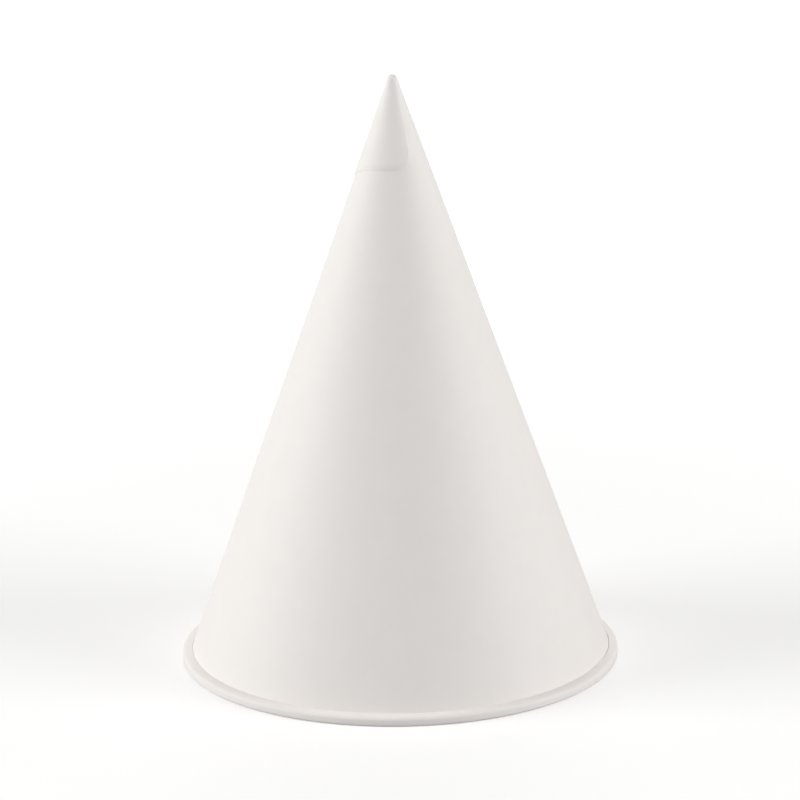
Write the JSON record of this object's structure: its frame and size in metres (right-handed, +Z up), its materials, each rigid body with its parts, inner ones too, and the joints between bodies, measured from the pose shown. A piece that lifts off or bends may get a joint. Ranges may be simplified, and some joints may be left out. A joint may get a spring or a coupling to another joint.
{
  "type": "cone paper cup",
  "caption": "White paper drinking cone wound from a single blank, with a rolled rim, a glued lap that winds round the tip and a small pressed point.",
  "frame": {"origin": "centre of the rim's flat standing face", "axes": "+Z up along the cone's axis from the rim to the tip; -Y is the front, where the glue flap's free edge passes nearest to the tip"},
  "size_m": [0.07, 0.07, 0.0984],
  "materials": {
    "white_paper": "matte uncoated white paper"
  },
  "bodies": {
    "root": {"cone_cup": "white_paper"}
  },
  "joints": []
}
